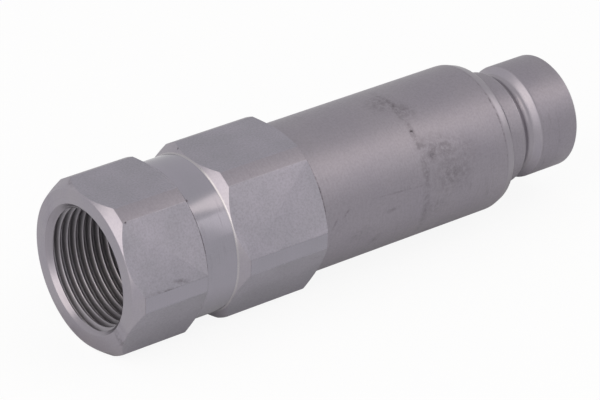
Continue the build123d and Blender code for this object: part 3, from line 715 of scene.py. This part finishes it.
def makePortThread(look, adapter):
    port = adapter["portRadius"]
    mouth = port + adapter["mouthChamfer"]
    root = port + look["sink"]
    rounding = look["rounding"]
    slope = radians(90 - look["flankAngle"])
    half = look["pitch"] / 2 - look["gap"]
    flank = half - 2 * rounding * sin(slope)
    depth = 2 * (rounding - rounding * cos(slope)) + flank * sin(slope) / cos(slope)
    # half of the ridge's outline, from its crest to the root beside it
    side = []
    for k in range(look["crestSteps"] + 1):
        angle = slope * k / look["crestSteps"]
        side.append((rounding * sin(angle), port - depth + rounding * (1 - cos(angle))))
    rootSide = []
    for k in range(look["rootSteps"] + 1):
        angle = slope * k / look["rootSteps"]
        rootSide.append((half - rounding * sin(angle), port - rounding * (1 - cos(angle))))
    rootSide.reverse()
    top, foot = Vector(side[-1]), Vector(rootSide[0])
    for k in range(1, look["flankSteps"]):
        side.append(tuple(top.lerp(foot, k / look["flankSteps"])))
    side += rootSide
    outline = [(-half, root)] + [(-x, r) for x, r in reversed(side[1:])] + side + [(half, root)]
    bm, wire = drawOutline(outline)
    steps = look["stepsPerTurn"]
    pitch = look["pitch"] * mm
    bmesh.ops.spin(bm, geom=wire, cent=(0, 0, 0), axis=axisX, dvec=(pitch / steps, 0, 0), angle=tau,
                   steps=steps)
    turn = bm.verts[:] + bm.edges[:] + bm.faces[:]
    for number in range(1, look["turns"]):
        copied = bmesh.ops.duplicate(bm, geom=turn)["geom"]
        bmesh.ops.translate(bm, verts=[part for part in copied if isinstance(part, bmesh.types.BMVert)],
                            vec=(number * pitch, 0, 0))
    bmesh.ops.remove_doubles(bm, verts=bm.verts, dist=look["seamDistance"])
    # the ridge's middle lies at the phase's x on the side away from the camera
    first = (look["start"] - look["phase"]) / look["pitch"] * tau
    bmesh.ops.rotate(bm, verts=bm.verts, cent=(0, 0, 0), matrix=Matrix.Rotation(first - pi / 2, 3, "X"))
    bmesh.ops.translate(bm, verts=bm.verts, vec=(look["start"] * mm, 0, 0))
    for v in bm.verts:
        x, radius = v.co.x / mm, hypot(v.co.y, v.co.z) / mm
        cone = min(mouth - x, root)
        reach = cone if x < look["fullCone"] and radius < root - look["gap"] else max(radius, cone)
        v.co.y *= reach / radius
        v.co.z *= reach / radius
    for x, facing in ((adapter["mouthChamfer"], -1), (look["lastX"], 1)):
        cutOff(bm, bm.verts[:] + bm.edges[:] + bm.faces[:], (x * mm, 0, 0), axisX * facing)
    bmesh.ops.recalc_face_normals(bm, faces=bm.faces)
    for face in bm.faces:
        if all(hypot(v.co.y, v.co.z) < (mouth + look["gap"]) * mm - v.co.x for v in face.verts):
            face.material_index = shop["rimFinish"]
    makePiece(bm, "portThread", [platedCut, platedFormed], "housing", [], look["sharpAngle"])


makePortThread(threadLook, adapterLook)
print("port thread made")


# springs: wire wound with one closed turn at each end, whose ends are ground flat
springLooks = {
    # mean diameter and wire in mm, and the open turns
    "frontSpring": {"node": "front_spring", "body": "housing", "joint": "front_slide",
                    "middle": 14.8, "wire": 1.6, "turns": 5, "wireSides": 12, "stepsPerTurn": 48},
    "rearSpring": {"node": "rear_spring", "body": "housing", "joint": "rear_slide",
                   "middle": 16.4, "wire": 1.6, "turns": 6, "wireSides": 12, "stepsPerTurn": 48},
    "pilotSpring": {"node": "pilot_spring", "body": "rear_valve", "joint": "pilot_slide",
                    "middle": 4.4, "wire": 0.7, "turns": 8, "wireSides": 10, "stepsPerTurn": 36},
}
springEnds = {
    "closedPitch": 1.03,        # wire thicknesses
    "ground": 0.25,             # wire thicknesses past the end that the wire's middle starts
    "sharpAngle": 50,
}


def makeSpring(name, look, ends):
    low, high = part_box(look["node"])
    length = high.x - low.x
    wire = look["wire"] * mm
    ground = wire * ends["ground"]
    bm = bmesh.new()
    ring = bmesh.ops.create_circle(bm, cap_ends=False, segments=look["wireSides"], radius=wire / 2)["verts"]
    bmesh.ops.rotate(bm, verts=ring, cent=(0, 0, 0), matrix=Matrix.Rotation(pi / 2, 3, "X"))
    bmesh.ops.translate(bm, verts=ring, vec=(low.x - ground, 0, look["middle"] / 2 * mm))
    last = ring + onlyOnce(e for v in ring for e in v.link_edges)
    steps = look["stepsPerTurn"]
    closed = wire * ends["closedPitch"]
    pitch = (length + 2 * ground - 2 * closed) / look["turns"]
    for turns, rise in ((1, closed), (look["turns"], pitch), (1, closed)):
        last = bmesh.ops.spin(bm, geom=last, cent=(0, 0, 0), axis=axisX, dvec=(rise / steps, 0, 0),
                              angle=tau * turns, steps=steps * turns)["geom_last"]
    bmesh.ops.holes_fill(bm, edges=[e for e in bm.edges if e.is_boundary], sides=0)
    for x, facing in ((low.x, -1), (high.x, 1)):
        cutOff(bm, bm.verts[:] + bm.edges[:] + bm.faces[:], (x, 0, 0), axisX * facing)
    bmesh.ops.recalc_face_normals(bm, faces=bm.faces)
    spring = makePiece(bm, name, [springWire], look["body"], [look["node"]],
                       ends["sharpAngle"])
    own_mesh(spring)


for name, look in springLooks.items():
    makeSpring(name, look, springEnds)
print("springs made")


# the nodes that stay as the frame has them
slotFinishes = {
    "plated_steel": platedTurned,
    "turned_steel": turnedSteel,
    "poppet_steel": groundSteel,
    "spring_steel": springWire,
    "seal_rubber": nitrileRubber,
    "backup_plastic": turnedPtfe,
}
for node in nodes.values():
    for slot in node.material_slots:
        finish = slotFinishes[slot.material.name]   # read before the slot's link hides the name
        slot.link = "OBJECT"
        slot.material = finish
print("finishes given to the frame's own pieces")


# floor, lights and background
studio = {
    "floorColour": "#f2f2f3",
    "floorSize": 1.6,        # m across
    "floorSegments": 96,
    "floorGap": 0.02,        # mm under the coupler, so that the two never share a plane
    "floorSeen": 0.90,       # share of plain white in the floor, as the camera sees it
    "floorMirrored": 0.95,   # and as the steel mirrors it, but for the shadow under the coupler,
    "shadowInner": 1.0,      # which fades between these two distances in mm from the line under its axis
    "shadowOuter": 38.0,
    "shadowEnds": 3.0,       # times as fast beyond the coupler's two ends
    "worldDiffuse": 0.68,    # strength of the white surroundings as dull surfaces see them
}
softboxes = {
    # direction from the coupler, distance and size in m, power in W
    "leftSoftbox": {"direction": (-0.80, -0.12, 0.58), "distance": 0.9, "size": 0.80, "power": 3.3,
                    "colour": (1.0, 0.94, 0.86)},
    "frontSoftbox": {"direction": (0.51, -0.38, 0.76), "distance": 1.0, "size": 0.48, "power": 0.78,
                     "colour": (1.0, 0.91, 0.81)},
    "rightSoftbox": {"direction": (0.92, -0.13, 0.35), "distance": 1.0, "size": 0.45, "power": 0.80,
                     "colour": (1.0, 0.95, 0.90)},
    "lowSoftbox": {"direction": (0.53, -0.68, 0.50), "distance": 1.0, "size": 0.52, "power": 0.50,
                   "colour": (1.0, 0.96, 0.92)},
    "sideSoftbox": {"direction": (-0.84, -0.49, 0.16), "distance": 1.0, "size": 0.60, "power": 0.9,
                    "colour": (1.0, 0.97, 0.92)},
}


def makeFloor(look):
    bm = bmesh.new()
    middle = (cadLow + cadHigh) / 2
    bmesh.ops.create_circle(bm, cap_ends=True, segments=look["floorSegments"], radius=look["floorSize"] / 2)
    bmesh.ops.translate(bm, verts=bm.verts, vec=(middle.x, 0, cadLow.z - look["floorGap"] * mm))
    mesh = bpy.data.meshes.new("floor")
    bm.to_mesh(mesh)
    bm.free()
    material, tree = newMaterial("paleFloor")
    rays = addNode(tree, "LightPath").outputs
    shade = addNode(tree, "BsdfDiffuse", {"Color": srgb(look["floorColour"])})
    glow = addNode(tree, "Emission", {"Color": (1, 1, 1, 1), "Strength": 1.0})
    seen = addNode(tree, "Math", {"operation": "MULTIPLY", 1: look["floorSeen"]},
                   {0: rays["Is Camera Ray"]})
    glossy = addNode(tree, "Math", {"operation": "MAXIMUM"},
                     {0: rays["Is Glossy Ray"], 1: rays["Is Transmission Ray"]})
    # the shadow that the steel mirrors, a soft band on the floor along the line under the axis
    place = addNode(tree, "TexCoord").outputs["Object"]
    parts = addNode(tree, "SeparateXYZ", links={0: place}).outputs
    before = addNode(tree, "Math", {"operation": "SUBTRACT", 0: cadLow.x}, {1: parts["X"]})
    behind = addNode(tree, "Math", {"operation": "SUBTRACT", 1: cadHigh.x}, {0: parts["X"]})
    beyond = addNode(tree, "Math", {"operation": "MAXIMUM"}, {0: before, 1: behind})
    beyond = addNode(tree, "Math", {"operation": "MAXIMUM", 1: 0.0}, {0: beyond})
    beyond = addNode(tree, "Math", {"operation": "MULTIPLY", 1: look["shadowEnds"]}, {0: beyond})
    offset = addNode(tree, "CombineXYZ", links={"X": beyond, "Y": parts["Y"]})
    away = addNode(tree, "VectorMath", {"operation": "LENGTH"}, {0: offset}).outputs["Value"]
    openFloor = addNode(tree, "MapRange", {
        "interpolation_type": "SMOOTHSTEP", "From Min": look["shadowInner"] * mm,
        "From Max": look["shadowOuter"] * mm, "To Max": look["floorMirrored"]}, {"Value": away})
    mirrored = addNode(tree, "Math", {"operation": "MULTIPLY_ADD"}, {0: glossy, 1: openFloor, 2: seen})
    mixed = addNode(tree, "MixShader", links={0: mirrored, 1: shade, 2: glow})
    addNode(tree, "OutputMaterial", links={"Surface": mixed})
    mesh.materials.append(material)
    floor = bpy.data.objects.new("floor", mesh)
    bpy.context.scene.collection.objects.link(floor)


# Plain white to the camera and in reflections, and weaker for dull surfaces.
def makeWorld(look):
    world = bpy.data.worlds.new("studio")
    world.use_nodes = True
    tree = world.node_tree
    tree.nodes.clear()
    rays = addNode(tree, "LightPath").outputs
    seen = addNode(tree, "Math", {"operation": "MAXIMUM"},
                   {0: rays["Is Camera Ray"], 1: rays["Is Glossy Ray"]})
    seen = addNode(tree, "Math", {"operation": "MAXIMUM"}, {0: seen, 1: rays["Is Transmission Ray"]})
    strength = addNode(tree, "MapRange", {"To Min": look["worldDiffuse"], "To Max": 1.0}, {"Value": seen})
    sky = addNode(tree, "Background", {"Color": (1, 1, 1, 1)}, {"Strength": strength})
    addNode(tree, "OutputWorld", links={"Surface": sky})
    bpy.context.scene.world = world


def makeSoftbox(name, look):
    middle = (cadLow + cadHigh) / 2
    data = bpy.data.lights.new(name, "AREA")
    data.size = look["size"]
    data.energy = look["power"]
    data.color = look["colour"]
    light = bpy.data.objects.new(name, data)
    light.location = middle + Vector(look["direction"]).normalized() * look["distance"]
    light.rotation_euler = (light.location - middle).to_track_quat("Z", "Y").to_euler()
    bpy.context.scene.collection.objects.link(light)


makeFloor(studio)
makeWorld(studio)
for name, look in softboxes.items():
    makeSoftbox(name, look)
bpy.context.scene.view_settings.view_transform = "Standard"
print("studio made")
